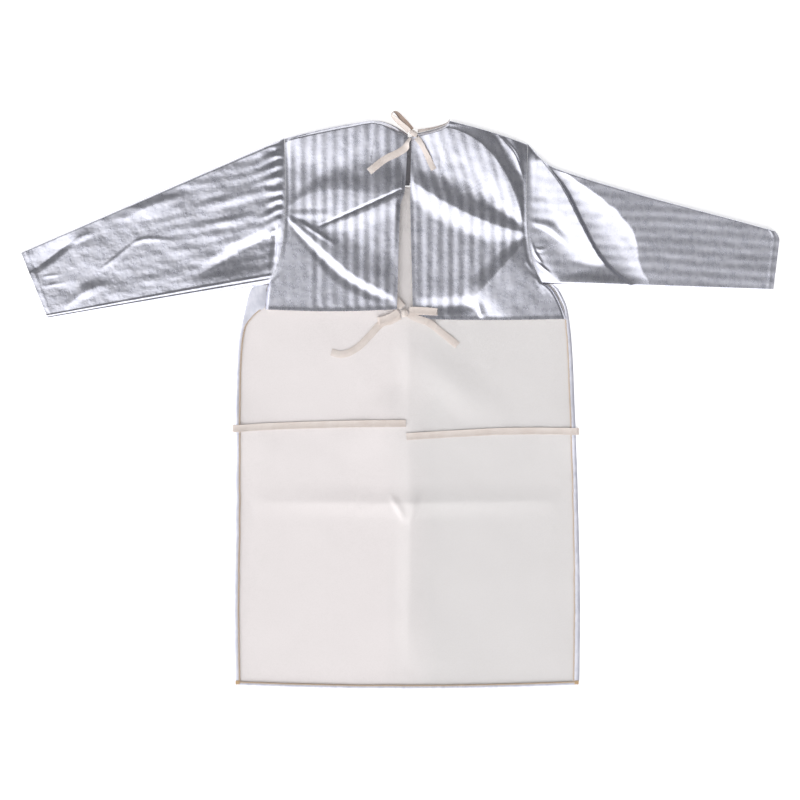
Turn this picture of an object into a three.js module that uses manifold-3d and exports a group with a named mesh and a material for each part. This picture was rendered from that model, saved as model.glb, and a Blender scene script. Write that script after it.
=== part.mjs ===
// A heat protective coat apron of aluminised cloth, open down the back, lying flat with its back up.
// The full length front panel lies face down with its cream canvas side up. Two short back panels, two sleeves
// and three turned-up hems are sewn to it. A bow at the neck, a bow at the back hem and two waist ties close it.
// Units are millimetres. +X is to the right seen from above, +Y is towards the neck and +Z is up.
// The origin is on the ground, under the centre line and half way between the neck points and the hem.
import * as THREE from "three";
import { mergeVertices } from "three/addons/utils/BufferGeometryUtils.js";
import Module from "manifold-3d";

const wasm = await Module();
wasm.setup();

// Cloth and clearances
const cloth = 1.2;
const seam_gap = 0.3;
const seam_seat = 2 * cloth + 2 * seam_gap; // a wall's outer face where it comes down on the front panel

// The body
const garment_length = 1200;
const shoulder_width = 514;
const shoulder_bow = 3; // the shoulder seams bow outwards a little
const neck_width = 165;
const neck_shift = 9; // the collar lies a little to the right of the centre line
const front_neck_drop = 141;
const back_neck_drop = 30;
const armhole_drop = 346; // neck point to underarm, down the body
const armhole_hollow = 3;
const underarm_flare = 33;
const hem_width = 728;
const hem_sag = 8; // the bottom hem hangs lower at its middle
const back_length = 420;
const slit_width = 34; // between the back panels at their hem
const hem_turn = 10;

// How high the cloth stands off the ground
const fold_height = 6;
const arm_loft = 24;
const back_loft = 27;
const slit_loft = 18;
const hem_loft = 10;
const collar_height = 12;

// The sleeves
const sleeve_length = 606;

// How each side was laid down. Angles are in degrees from the X axis, falls and widths in millimetres.
const sides = {
  left: {
    sign: -1,
    shoulder_fall: 38,
    sleeve_angle: 23.5,
    pleat_take_up: 0,
    cap_drop: 0,
    cuff_width: 153,
    cuff_slant: 22,
    cuff_corner: 0,
    cuff_loft: 17,
    tuck_take_up: 20,
    side_seam_out: 8,
    neck_curve: 2,
  },
  right: {
    sign: 1,
    shoulder_fall: 50,
    sleeve_angle: 19.3,
    pleat_take_up: 41,
    cap_drop: 30,
    cuff_width: 124,
    cuff_slant: 7,
    cuff_corner: 14,
    cuff_loft: 32,
    tuck_take_up: 0,
    side_seam_out: 44,
    neck_curve: 0.5,
  },
};

// The tapes
const tape_width = 15;
const binding_width = 7;
const tape_thickness = 1.4;
const tie_height = -52; // where the waist ties are sewn on, above the origin
const tie_sewn = 22; // the length of a waist tie that is sewn under the front panel's edge
const turn_reach = 8; // how far a waist tie goes past the edge where it turns over
const loop_turn = 2.4; // the radius of a tape's turn at the end of a loop

// Mesh steps
const armhole_steps = 14;
const side_steps = 5;
const back_columns = 16;
const sleeve_steps = 15;
const panel_cell = 40;
const tape_step = 9;

const top = garment_length / 2;
const bottom = -garment_length / 2;
const underarm = top - armhole_drop;

// Half widths of the front panel, as shares of hem_width, down from the underarm (0) to the hem (1)
const side_rows = [
  { down: 0.0, left: 0.43, right: 0.425 },
  { down: 0.015, left: 0.45, right: 0.443 },
  { down: 0.07, left: 0.467, right: 0.469 },
  { down: 0.16, left: 0.487, right: 0.481 },
  { down: 0.27, left: 0.493, right: 0.487 },
  { down: 0.6, left: 0.495, right: 0.5 },
  { down: 0.8, left: 0.499, right: 0.504 },
  { down: 1.0, left: 0.496, right: 0.502 },
];

// Widths of the cloth turned up over the side edges, as shares of hem_turn. It is widest beside the side seam.
const turn_rows = [
  { down: 0.02, left: 2.7, right: 0.7 },
  { down: 0.055, left: 3.7, right: 0.5 },
  { down: 0.075, left: 2.2, right: 0.6 },
  { down: 0.11, left: 0.7, right: 0.8 },
  { down: 0.3, left: 0.8, right: 0.9 },
  { down: 1.0, left: 1.0, right: 1.2 },
];

// The edges of the back slit, as shares of slit_width out from the centre line
const slit_rows = [
  { down: 0.0, left: -0.12, right: 0.35 },
  { down: 0.33, left: 0.08, right: 0.26 },
  { down: 0.43, left: 0.35, right: 0.28 },
  { down: 1.0, left: 0.56, right: 0.44 },
];

// How far the outer line of the right sleeve's top edge lies below a straight line, as shares of cap_drop
const cap_rows = [
  { along: 0.0, fall: 0.0 },
  { along: 0.07, fall: 0.82 },
  { along: 0.11, fall: 1.0 },
  { along: 1.0, fall: 0.0 },
];

// Folds of the cloth. A fold runs from one point to another of its piece and is a crest, or a dent if its height is
// negative. start and end are heights as shares of back_loft, near and far are how far it reaches on the side
// towards the neck and on the other side, as shares of back_length, and taper is how much of that is left at its end.
const back_folds = {
  left: [
    { u0: 1.0, v0: 0.34, u1: 0.3, v1: 0.52, start: 0.34, end: 0.08, near: 0.15, far: 0.03, taper: 0.8 },
    { u0: 0.02, v0: 0.42, u1: 0.96, v1: 0.93, start: 0.24, end: 0.16, near: 0.05, far: 0.09, taper: 1.2 },
    { u0: 0.02, v0: 0.39, u1: 0.9, v1: 0.24, start: -0.2, end: -0.12, near: 0.04, far: 0.06, taper: 1.8 },
  ],
  right: [
    { u0: 0.02, v0: 0.58, u1: 0.95, v1: 0.2, start: 0.26, end: 0.12, near: 0.06, far: 0.05, taper: 2.2 },
    { u0: 0.02, v0: 0.62, u1: 0.95, v1: 0.38, start: 0.22, end: 0.1, near: 0.04, far: 0.06, taper: 1.8 },
    { u0: 0.04, v0: 0.66, u1: 0.5, v1: 0.97, start: 0.28, end: 0.14, near: 0.05, far: 0.07, taper: 1.5 },
  ],
};

// The same for a sleeve: u is along it, v is across it from its top edge, near and far are shares of armhole_drop,
// and near is the side towards the body on a fold that crosses the sleeve.
const sleeve_folds = {
  left: [
    { u0: 0.02, v0: 0.62, u1: 0.3, v1: 0.9, start: 0.26, end: 0.1, near: 0.12, far: 0.1, taper: 1.2 },
    { u0: 0.97, v0: 0.3, u1: 0.84, v1: 0.06, start: 0.2, end: 0.1, near: 0.06, far: 0.05, taper: 1.0 },
    { u0: 0.55, v0: 0.55, u1: 0.88, v1: 0.8, start: 0.14, end: 0.1, near: 0.08, far: 0.08, taper: 1.0 },
  ],
  right: [
    { u0: 0.1, v0: 0.0, u1: 0.2, v1: 0.7, start: 0.42, end: 0.2, near: 0.22, far: 0.03, taper: 0.8 },
    { u0: 0.13, v0: 0.03, u1: 0.4, v1: 0.85, start: 0.12, end: 0.2, near: 0.1, far: 0.12, taper: 1.3 },
  ],
};

// Creases of the front panel, where it was folded for storing. x is a share of hem_width from the centre line, y a
// share of garment_length from the middle, height a share of fold_height and reach a share of hem_width. The ends of
// the waist ties press the middle flat.
const panel_creases = [
  { x0: 0.01, y0: 0.12, x1: 0.01, y1: 0.07, height: 0.4, reach: 0.1 },
  { x0: 0.01, y0: -0.09, x1: 0.01, y1: -0.44, height: 0.5, reach: 0.1 },
  { x0: -0.36, y0: -0.172, x1: 0.4, y1: -0.176, height: 0.4, reach: 0.09 },
  { x0: -0.13, y0: -0.05, x1: -0.28, y1: -0.14, height: 0.35, reach: 0.1 },
  { x0: 0.05, y0: 0.1, x1: 0.26, y1: 0.02, height: 0.3, reach: 0.1 },
];

const radians = THREE.MathUtils.degToRad;
const mix = THREE.MathUtils.lerp;
const clamp01 = (t) => THREE.MathUtils.clamp(t, 0, 1);
const ease = (t) => THREE.MathUtils.smoothstep(t, 0, 1);
const bell = (t) => (Math.abs(t) < 1 ? 0.5 + 0.5 * Math.cos(Math.PI * t) : 0);

// A column of a table at a place between its rows
function read(rows, key, at, column) {
  const next = rows.findIndex((row) => row[key] >= at);
  if (next < 0) return rows[rows.length - 1][column];
  if (next === 0) return rows[0][column];
  const [a, b] = [rows[next - 1], rows[next]];
  return mix(a[column], b[column], (at - a[key]) / (b[key] - a[key]));
}

// How high a fold lifts the point (x, y), where start and finish are its ends and near and far its reaches
function foldLift(x, y, start, finish, heights, reaches, taper) {
  const dx = finish.x - start.x;
  const dy = finish.y - start.y;
  const t = ((x - start.x) * dx + (y - start.y) * dy) / (dx * dx + dy * dy);
  const on = clamp01(t);
  const away = Math.hypot(x - start.x - on * dx, y - start.y - on * dy);
  const side = dx * (y - start.y) - dy * (x - start.x);
  const reach = (side > 0 ? reaches.left : reaches.right) * mix(1, taper, on);
  return mix(heights.start, heights.end, on) * bell(away / reach);
}

// A closed wall of cloth under a grid of points on its outer face. Rows run one way and columns the other, and
// around is true where the last column meets the first, as on a sleeve.
function clothWall(rows, around = false) {
  const columns = rows[0].length;
  const at = (i, j) => {
    const row = rows[THREE.MathUtils.clamp(i, 0, rows.length - 1)];
    return around ? row[(j + columns) % columns] : row[THREE.MathUtils.clamp(j, 0, columns - 1)];
  };
  const inner = rows.map((row, i) =>
    row.map((point, j) => {
      const down = new THREE.Vector3().subVectors(at(i + 1, j), at(i - 1, j));
      const across = new THREE.Vector3().subVectors(at(i, j + 1), at(i, j - 1));
      const normal = across.cross(down).normalize();
      return point.clone().addScaledVector(normal, -cloth);
    }),
  );
  const points = [...rows.flat(), ...inner.flat()];
  const faces = [];
  const face = (a, b, c, d) => faces.push(a, b, d, b, c, d);
  const below = rows.length * columns;
  const id = (i, j) => i * columns + (j % columns);
  const last_column = around ? columns : columns - 1;
  for (let i = 0; i < rows.length - 1; i++)
    for (let j = 0; j < last_column; j++) {
      const corners = [id(i, j), id(i, j + 1), id(i + 1, j + 1), id(i + 1, j)];
      face(...corners);
      face(...corners.map((c) => c + below).reverse());
    }
  for (let j = 0; j < last_column; j++) {
    const end = rows.length - 1;
    face(id(0, j), id(0, j) + below, id(0, j + 1) + below, id(0, j + 1));
    face(id(end, j + 1), id(end, j + 1) + below, id(end, j) + below, id(end, j));
  }
  if (!around)
    for (let i = 0; i < rows.length - 1; i++) {
      face(id(i + 1, 0), id(i + 1, 0) + below, id(i, 0) + below, id(i, 0));
      const edge = columns - 1;
      face(id(i, edge), id(i, edge) + below, id(i + 1, edge) + below, id(i + 1, edge));
    }
  return closedGeometry(points, faces);
}

function closedGeometry(points, faces) {
  const geometry = new THREE.BufferGeometry();
  geometry.setFromPoints(points);
  geometry.setIndex(faces);
  return geometry;
}

// A piece modelled on the right, turned over to the left if that is its side
function onSide(geometry, side) {
  if (side.sign > 0) return geometry;
  geometry.scale(-1, 1, 1);
  const index = geometry.index.array;
  for (let i = 0; i < index.length; i += 3) [index[i + 1], index[i + 2]] = [index[i + 2], index[i + 1]];
  return geometry;
}

// Solids for cutting and joining, and back
function solidOf(geometry) {
  const bare = geometry.clone();
  bare.deleteAttribute("normal");
  bare.deleteAttribute("uv");
  const merged = mergeVertices(bare, 1e-4);
  return new wasm.Manifold(
    new wasm.Mesh({
      numProp: 3,
      vertProperties: merged.attributes.position.array,
      triVerts: new Uint32Array(merged.index.array),
    }),
  );
}

function geometryOf(solid) {
  const mesh = solid.getMesh();
  const geometry = new THREE.BufferGeometry();
  geometry.setAttribute("position", new THREE.BufferAttribute(mesh.vertProperties, 3));
  geometry.setIndex(new THREE.BufferAttribute(mesh.triVerts, 1));
  return geometry;
}

// The armhole seam: out from the centre line, at a share down it from the shoulder point to the underarm
const armholeOut = (share) =>
  shoulder_width / 2 - armhole_hollow * Math.sin(Math.PI * share) + underarm_flare * share ** 6;
const armholeAt = (side, share) =>
  new THREE.Vector2(armholeOut(share), mix(top - side.shoulder_fall, underarm, share));

// Shares down the armhole that sit close together at its two ends, where the cloth turns over
const armhole_shares = Array.from({ length: armhole_steps + 1 }, (_, k) => (1 - Math.cos((Math.PI * k) / armhole_steps)) / 2);

// The height of a lofted wall over a flat one, across a piece that is folded at both its edges
const archShare = (share) => Math.max(0, 1 - (2 * share - 1) ** 2) ** 0.4;

const halfWidth = (name, y) => hem_width * read(side_rows, "down", (underarm - y) / (underarm - bottom), name);
const hemLine = (x) => bottom + hem_sag * Math.min(1, (2 * x) / hem_width) ** 2 - hem_sag / 2;

// The front panel rises over the sewn end of each waist tie, and its creases lie flat again at its sewn edges
function panelLift(x, y) {
  const tie_reach = 2.4 * panel_cell;
  const over_tie = bell((Math.abs(x) - hem_width / 2) / tie_reach) * bell((y - tie_height) / tie_reach);
  const tie_lift = 2.4 * tape_thickness * over_tie;
  const edge = Math.min(1, Math.min(hem_width / 2 - Math.abs(x), y - bottom) / (4 * hem_turn) - 1);
  if (edge <= 0) return tie_lift;
  return panel_creases.reduce((sum, c) => {
    const start = { x: c.x0 * hem_width, y: c.y0 * garment_length };
    const finish = { x: c.x1 * hem_width, y: c.y1 * garment_length };
    const height = c.height * fold_height * ease(edge);
    const reach = c.reach * hem_width;
    return sum + foldLift(x, y, start, finish, { start: height, end: height }, { left: reach, right: reach }, 1);
  }, tie_lift);
}

const panel_columns = Math.ceil((1.04 * hem_width) / panel_cell);
const panel_rows = Math.ceil((garment_length + 4 * hem_sag) / panel_cell);
const panel_edge = { x: (panel_columns * panel_cell) / 2, y: top + hem_sag };
const panelPoint = (i, j) => {
  const x = j * panel_cell - panel_edge.x;
  const y = panel_edge.y - i * panel_cell;
  return new THREE.Vector3(x, y, cloth + panelLift(x, y));
};

// The front panel: a creased sheet, cut to the outline of the coat with its neck
function frontPanel() {
  const rows = Array.from({ length: panel_rows + 1 }, (_, i) =>
    Array.from({ length: panel_columns + 1 }, (_, j) => panelPoint(i, j)).reverse(),
  );
  const sheet = solidOf(clothWall(rows));
  const edgeOf = (name) => {
    const side = sides[name];
    const armhole = armhole_shares.map((share) => armholeAt(side, share));
    const sidePoints = side_rows.slice(1).map((row) => {
      const y = mix(underarm, bottom, row.down);
      return new THREE.Vector2(hem_width * row[name], row.down === 1 ? hemLine(hem_width / 2) : y);
    });
    return [...armhole, ...new THREE.SplineCurve(sidePoints).getPoints(3 * side_rows.length)];
  };
  const outline = new THREE.Shape();
  const left = edgeOf("left").map((p) => new THREE.Vector2(-p.x, p.y));
  const right = edgeOf("right");
  outline.moveTo(neck_shift - neck_width / 2, top);
  left.forEach((p) => outline.lineTo(p.x, p.y));
  for (let x = -hem_width / 2 + panel_cell; x < hem_width / 2 - hem_turn; x += panel_cell) outline.lineTo(x, hemLine(x));
  right.reverse().forEach((p) => outline.lineTo(p.x, p.y));
  outline.lineTo(neck_shift + neck_width / 2, top);
  const drop = top - front_neck_drop;
  const [from, to] = [neck_shift + neck_width / 2, neck_shift - neck_width / 2];
  outline.bezierCurveTo(from, drop, neck_shift + neck_width / 5, drop, neck_shift, drop);
  outline.bezierCurveTo(neck_shift - neck_width / 5, drop, to, drop, to, top);
  const height = 4 * fold_height;
  const prism = new THREE.ExtrudeGeometry(outline, { depth: 2 * height, bevelEnabled: false, curveSegments: 6 });
  prism.translate(0, 0, -height);
  return geometryOf(sheet.intersect(solidOf(prism)));
}

// The neck edge of a back panel: how far up it lies at a distance out from the centre line, and its height
const neckOut = (side) => neck_width / 2 + side.sign * neck_shift;
function neckLine(side, out) {
  const slit_out = slit_width * slit_rows[0][side.sign > 0 ? "right" : "left"];
  const share = (neckOut(side) - out) / (neckOut(side) - slit_out);
  return top - back_neck_drop * share ** side.neck_curve;
}
const collarHeight = (side, out) =>
  mix(seam_seat, collar_height, ease((1.6 * (neckOut(side) - out)) / neckOut(side)));

// A back panel. u runs from the armhole (0) to the slit (1) and v from the shoulder (0) to the back hem (1).
function backPanel(name) {
  const side = sides[name];
  const shoulder = top - side.shoulder_fall;
  const hem = top - back_length + side.tuck_take_up;
  const neck_out = neckOut(side);
  const armhole_share = (shoulder - underarm) / (shoulder - hem);
  const shares = [
    ...armhole_shares.map((share) => share * armhole_share),
    ...Array.from({ length: side_steps }, (_, k) => mix(armhole_share, 1, (k + 1) / side_steps)),
  ];
  const sideOut = (v) => {
    if (v <= armhole_share) return armholeOut(v / armhole_share);
    const below = (v - armhole_share) / (1 - armhole_share);
    return armholeOut(1) + side.side_seam_out * Math.sqrt(below) - (side.sign > 0 ? 0 : seam_gap);
  };
  const slitOut = (v) => slit_width * read(slit_rows, "down", v, name);
  const outlineTop = (out) => {
    if (out > neck_out) {
      const share = (out - neck_out) / (shoulder_width / 2 - neck_out);
      return mix(top, shoulder, share) + shoulder_bow * Math.sin(Math.PI * share);
    }
    return neckLine(side, out);
  };
  const armHeight = (v) => {
    if (v <= armhole_share) return mix(fold_height, arm_loft, archShare(v / armhole_share));
    return mix(fold_height, seam_seat, Math.sqrt((v - armhole_share) / (1 - armhole_share)));
  };
  const freeHeight = (v, loft) => {
    const rise = archShare(Math.min(v / armhole_share, 0.5));
    const fall = ease((v - 0.5) / 0.5);
    return mix(mix(fold_height, loft, rise), hem_loft, fall);
  };
  const height = (u, v) => {
    const [arm, middle, edge] = [armHeight(v), freeHeight(v, back_loft), freeHeight(v, slit_loft)];
    const lofted = arm * (1 - u) * (1 - 2 * u) + middle * 4 * u * (1 - u) + edge * u * (2 * u - 1);
    const rim = Math.min(1, 8 * v, 12 * u, 12 * (1 - v));
    const across = shoulder_width / 2;
    const lift = back_folds[name].reduce((sum, f) => {
      const start = { x: f.u0 * across, y: -f.v0 * back_length };
      const finish = { x: f.u1 * across, y: -f.v1 * back_length };
      const heights = { start: f.start * back_loft, end: f.end * back_loft };
      const towards_neck = finish.x > start.x;
      const [near, far] = [f.near * back_length, f.far * back_length];
      const reaches = towards_neck ? { left: near, right: far } : { left: far, right: near };
      return sum + foldLift(u * across, -v * back_length, start, finish, heights, reaches, f.taper);
    }, 0);
    return lofted + lift * ease(rim);
  };
  const rows = shares.map((v, i) =>
    Array.from({ length: back_columns + 1 }, (_, j) => {
      const u = j / back_columns;
      const out = mix(sideOut(v), slitOut(v), u);
      const y_top = outlineTop(Math.min(out, shoulder_width / 2));
      const hem_here = hem - (name === "right" ? 0.3 : 0.5) * hem_sag * Math.sin(Math.PI * u);
      const y = u === 0 && v <= armhole_share ? mix(shoulder, underarm, v / armhole_share) : mix(y_top, hem_here, v);
      return new THREE.Vector3(out, y, i === 0 ? collarHeight(side, out) : height(u, v));
    }),
  );
  return onSide(clothWall(rows), side);
}

// A sleeve: a flattened tube from the armhole to the cuff, whose lower wall lies on the ground
function sleeve(name) {
  const side = sides[name];
  const angle = radians(side.sleeve_angle);
  const slant = radians(side.cuff_slant);
  const start_top = armholeAt(side, 0);
  const start_bottom = armholeAt(side, 1);
  const reach = sleeve_length - side.pleat_take_up;
  const cuff_top = new THREE.Vector2(start_top.x + reach * Math.cos(angle), start_top.y - reach * Math.sin(angle));
  const cuff_bottom = new THREE.Vector2(
    cuff_top.x - side.cuff_width * Math.sin(slant),
    cuff_top.y - side.cuff_width * Math.cos(slant),
  );
  const plan = (along, share) => {
    const cut_back = side.cuff_corner * Math.max(0, 1 - share / 0.15) ** 2;
    const s = along * (1 - cut_back / reach);
    const upper = start_top.clone().lerp(cuff_top, s);
    upper.y -= side.cap_drop * read(cap_rows, "along", s, "fall");
    const lower = start_bottom.clone().lerp(cuff_bottom, s);
    const seam = armholeAt(side, share).sub(start_top.clone().lerp(start_bottom, share));
    const point = upper.lerp(lower, share).addScaledVector(seam, (1 - s) ** 3);
    point.x += 3 * seam_gap;
    return point;
  };
  const lift = (along, share) =>
    sleeve_folds[name].reduce((sum, f) => {
      const start = plan(f.u0, f.v0);
      const finish = plan(f.u1, f.v1);
      const here = plan(along, share);
      const heights = { start: f.start * back_loft, end: f.end * back_loft };
      const [near, far] = [f.near * armhole_drop, f.far * armhole_drop];
      const inward = finish.y < start.y;
      const reaches = inward ? { left: far, right: near } : { left: near, right: far };
      return sum + foldLift(here.x, here.y, start, finish, heights, reaches, f.taper);
    }, 0);
  const rings = Array.from({ length: sleeve_steps + 1 }, (_, i) => {
    const along = (i / sleeve_steps) ** 1.25;
    const loft = mix(arm_loft, side.cuff_loft, ease(along));
    const upper = armhole_shares.map((share) => {
      const p = plan(along, share);
      const free = archShare(share) * Math.min(1, 12 * along, 1);
      return new THREE.Vector3(p.x, p.y, mix(fold_height, loft, archShare(share)) + lift(along, share) * free);
    });
    const lower = armhole_shares.slice(1, -1).map((share) => {
      const p = plan(along, share);
      return new THREE.Vector3(p.x, p.y, fold_height * (1 - archShare(share) ** 0.5) ** 2);
    });
    return [...upper, ...lower.reverse()];
  });
  return onSide(clothWall(rings, true), side);
}

// The cloth turned up over a side edge of the front panel, its silver face up
function sideHem(name) {
  const side = sides[name];
  const first = turn_rows[0].down;
  const last = (underarm - hemLine(hem_width / 2) - hem_turn) / (underarm - bottom);
  const steps = 24;
  const rows = Array.from({ length: steps + 1 }, (_, i) => {
    const down = mix(first, last, (i / steps) ** 2);
    const y = mix(underarm, bottom, down);
    const outer = halfWidth(name, y);
    const inner = outer - hem_turn * read(turn_rows, "down", down, name);
    return [outer, inner].map((out) => {
      const z = topAt(side.sign * mix(out, inner, 0.1), y) + cloth + 2 * seam_gap;
      return new THREE.Vector3(out, y, z);
    });
  });
  return onSide(clothWall(rows), side);
}

function bottomHem() {
  const half = { left: halfWidth("left", bottom), right: halfWidth("right", bottom) };
  const steps = Math.ceil(hem_width / panel_cell);
  const rows = [hem_turn, 0].map((rise) =>
    Array.from({ length: steps + 1 }, (_, i) => {
      const x = mix(half.right, -half.left, i / steps);
      return new THREE.Vector3(x, hemLine(x) + rise - (rise ? 2 * seam_gap : 0), 2 * cloth + 2 * seam_gap);
    }),
  );
  return clothWall(rows);
}

// A tape along a line of stations, flat side up except where a station has a roll in degrees
function ribbon(stations, width = tape_width) {
  let across = null;
  const rows = stations.map((point, i) => {
    const before = stations[Math.max(i - 1, 0)];
    const after = stations[Math.min(i + 1, stations.length - 1)];
    const along = new THREE.Vector3().subVectors(after, before).normalize();
    const level = new THREE.Vector3(-along.y, along.x, 0);
    let side = level.clone().normalize();
    if (across && level.length() < 0.3) side = across.clone().addScaledVector(along, -across.dot(along)).normalize();
    else if (across && side.dot(across) < 0) side.negate();
    across = side.clone();
    side.applyAxisAngle(along, radians(point.roll ?? 0));
    const up = new THREE.Vector3().crossVectors(side, along);
    return { point, side, up };
  });
  const corners = [[1, 1], [-1, 1], [-1, -1], [1, -1]];
  const points = rows.flatMap(({ point, side, up }) =>
    corners.map(([a, b]) =>
      new THREE.Vector3(point.x, point.y, point.z)
        .addScaledVector(side, (a * width) / 2)
        .addScaledVector(up, (b * tape_thickness) / 2),
    ),
  );
  const faces = [];
  const face = (a, b, c, d) => faces.push(a, b, c, a, c, d);
  for (let i = 0; i < rows.length - 1; i++)
    for (let k = 0; k < 4; k++) face(4 * i + k, 4 * i + ((k + 1) % 4), 4 * i + 4 + ((k + 1) % 4), 4 * i + 4 + k);
  const end = 4 * (rows.length - 1);
  face(3, 2, 1, 0);
  face(end, end + 1, end + 2, end + 3);
  const geometry = closedGeometry(points, faces);
  return solidOf(geometry).volume() > 0 ? geometry : inverted(geometry);
}

function inverted(geometry) {
  geometry.index.array.reverse();
  return geometry;
}

// The stations of a smooth line through chosen points, [x, y], [x, y, z] or [x, y, z, roll]
function stationsOf(route, step = tape_step) {
  const curve = new THREE.CatmullRomCurve3(route.map(([x, y, z = 0]) => new THREE.Vector3(x, y, z)));
  const rolls = new THREE.CatmullRomCurve3(route.map(([, , , roll = 0]) => new THREE.Vector3(roll, 0, 0)));
  const count = Math.max(3, Math.round(curve.getLength() / step));
  return Array.from({ length: count + 1 }, (_, k) => {
    const t = curve.getUtoTmapping(k / count);
    const point = curve.getPoint(t);
    point.roll = rolls.getPoint(t).x;
    return point;
  });
}

// The same stations laid on what is already there, each high enough for the tape's whole width
function laidOn(route, lift = seam_gap) {
  const stations = stationsOf(route);
  const heights = stations.map((point, i) => {
    const next = stations[Math.min(i + 1, stations.length - 1)];
    const last = stations[Math.max(i - 1, 0)];
    const along = new THREE.Vector2(next.x - last.x, next.y - last.y).normalize();
    const shares = [-0.5, -0.25, 0, 0.25, 0.5];
    return Math.max(...shares.map((a) => topAt(point.x - a * tape_width * along.y, point.y + a * tape_width * along.x)));
  });
  return stations.map((point, i) => {
    const highest = Math.max(...heights.slice(Math.max(i - 1, 0), i + 2));
    point.z = Math.max(point.z, highest + lift + tape_thickness / 2);
    return point;
  });
}

// A half turn that takes a tape back over itself, beyond the point where it starts
function turnOver(from, outward, radius) {
  return [1, 2, 3, 4, 5].map((k) => {
    const angle = (Math.PI * k) / 6;
    const out = radius * Math.sin(angle);
    return new THREE.Vector3(from.x + outward.x * out, from.y + outward.y * out, from.z + radius * (1 - Math.cos(angle)));
  });
}

// A flat loop: out from the knot, over and back, the two layers splayed apart by an angle
function flatLoop(route, splay, lift) {
  const under = laidOn(route, lift);
  const end = under[under.length - 1];
  const start = under[0];
  const outward = new THREE.Vector2(end.x - start.x, end.y - start.y).normalize();
  const turn = turnOver(end, outward, loop_turn);
  const back = under.map((point) => {
    const offset = new THREE.Vector2(point.x - end.x, point.y - end.y).rotateAround(new THREE.Vector2(), radians(splay));
    return new THREE.Vector3(end.x + offset.x, end.y + offset.y, point.z + 2 * loop_turn);
  });
  return ribbon([...under, ...turn, ...back.reverse()]);
}

// The tape sewn along a back panel's neck edge, from the neck point to the knot
function neckTape(name) {
  const side = sides[name];
  const steps = 8;
  const inset = neck_bow.x + neck_bow.width / 2 + seam_gap;
  const rows = Array.from({ length: steps + 1 }, (_, i) => {
    const out = mix(neckOut(side), inset, i / steps);
    const edge = neckLine(side, out) + 3 * seam_gap;
    const rise = binding_width * mix(0.35, 1, i / steps);
    return [rise, 0].map((up) => new THREE.Vector3(out, edge + up, collarHeight(side, out)));
  });
  return onSide(clothWall(rows), side);
}

// A tape end that is wrapped into a knot
function knot({ x, y, z, width, depth, height }) {
  const ball = new THREE.SphereGeometry(1, 12, 8);
  const place = ball.attributes.position;
  const square = (t) => Math.sign(t) * Math.abs(t) ** 0.6;
  for (let i = 0; i < place.count; i++) {
    const [a, b, c] = [place.getX(i), place.getY(i), place.getZ(i)].map(square);
    place.setXYZ(i, x + (a * width) / 2, y + (b * depth) / 2, z + (c * height) / 2);
  }
  return geometryOf(solidOf(ball));
}

// Waist ties: each is sewn under the edge, turns over it and lies across the inside
function waistTie(name, route) {
  const side = sides[name];
  const [x, y] = route[0];
  const edge = side.sign * (Math.abs(x) - turn_reach);
  const low = tape_thickness / 2;
  const laid = laidOn([[edge, y], ...route.slice(1)], 2 * seam_gap);
  const radius = (laid[0].z - low) / 2;
  const corner = new THREE.Vector3(x - side.sign * radius, y, low);
  const turn = turnOver(corner, new THREE.Vector2(side.sign, 0), radius);
  const sewn = new THREE.Vector3(edge - side.sign * tie_sewn, y, low);
  const over = new THREE.Vector3(corner.x, y, laid[0].z);
  return ribbon([sewn, corner, ...turn, over, ...laid]);
}

const silver = new THREE.MeshStandardMaterial({ color: 0xc4c5cb, metalness: 0.9, roughness: 0.32 });
const canvas = new THREE.MeshStandardMaterial({ color: 0xe9e4df, metalness: 0, roughness: 0.92 });
const cream_tape = new THREE.MeshStandardMaterial({ color: 0xdccfc6, metalness: 0, roughness: 0.9 });

const coat = new THREE.Group();
function add(name, geometry, material) {
  const mesh = new THREE.Mesh(geometry, material.clone());
  mesh.name = name;
  coat.add(mesh);
}

// The top of the pieces added so far, over a point of the ground
const drop_line = new THREE.Raycaster();
function topAt(x, y) {
  drop_line.set(new THREE.Vector3(x, y, garment_length), new THREE.Vector3(0, 0, -1));
  const hit = drop_line.intersectObjects(coat.children)[0];
  return hit ? hit.point.z : 0;
}

add("front_panel", frontPanel(), canvas);
for (const name of ["left", "right"]) add(`side_hem_${name}`, sideHem(name), silver);
add("bottom_hem", bottomHem(), silver);
for (const name of ["left", "right"]) {
  add(`back_panel_${name}`, backPanel(name), silver);
  add(`sleeve_${name}`, sleeve(name), silver);
}

// A route whose y is given from a height of its own
const fromHeight = (height, route) => route.map(([x, y, ...rest]) => [x, height + y, ...rest]);

// The bow at the back hem, and the stub of tape that joins it to the left back panel
const back_hem = top - back_length;
const back_bow = { x: -3, y: back_hem + 12, z: 10, width: 13, depth: 20, height: 9 };
const back_routes = {
  tail_left: [[-14, 6], [-32, -4], [-48, -8], [-77, -36], [-103, -61], [-126, -73], [-141, -75], [-158, -70]],
  tail_right: [[6, 10], [20, 2], [48, -8], [73, -27], [92, -42], [109, -56]],
  loop_left: [[-13, 14], [-30, 11], [-58, 1]],
  loop_right: [[7, 15], [32, 16], [64, 15]],
  stub: [[-22, 42, 7.6], [-13, 31, 8], [-7, 24.5, 8.6]],
};
const onBack = (key) => fromHeight(back_hem, back_routes[key]);
add("back_tail_left", ribbon(laidOn(onBack("tail_left"))), cream_tape);
add("back_tail_right", ribbon(laidOn(onBack("tail_right"))), cream_tape);
add("back_loop_left", flatLoop(onBack("loop_left"), 12, 2 * seam_gap), cream_tape);
add("back_loop_right", flatLoop(onBack("loop_right"), -3, 2 * seam_gap), cream_tape);
add("back_tape", ribbon(stationsOf(onBack("stub"))), cream_tape);
add("back_knot", knot(back_bow), cream_tape);

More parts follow.
